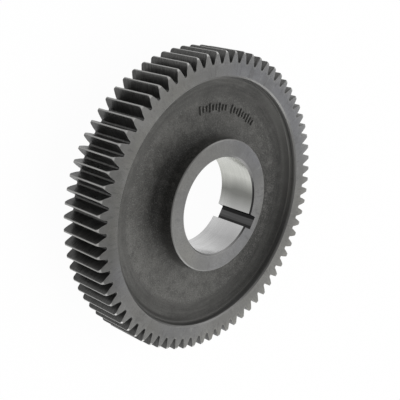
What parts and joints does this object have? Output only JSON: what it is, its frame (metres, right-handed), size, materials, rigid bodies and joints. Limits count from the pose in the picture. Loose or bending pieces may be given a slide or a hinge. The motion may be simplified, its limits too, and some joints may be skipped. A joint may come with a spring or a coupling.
{
  "type": "spur gear",
  "caption": "Keyed spur gear with a wide toothed rim, a recessed forged web and a raised central hub with a plain bore and one keyway.",
  "frame": {"origin": "on the bore axis, in the plane of the rim's back face that the gear rests on", "axes": "+Z along the bore axis, out of the rim's front face where the hub stands proud; +X through the keyway and the middle of one tooth"},
  "size_m": [0.1927, 0.1928, 0.0343],
  "materials": {
    "gear_steel": "turned rim and hub faces, dark shot-blasted forged web, dark cut teeth, bright honed bore"
  },
  "bodies": {
    "root": {"gear": "gear_steel"}
  },
  "joints": []
}
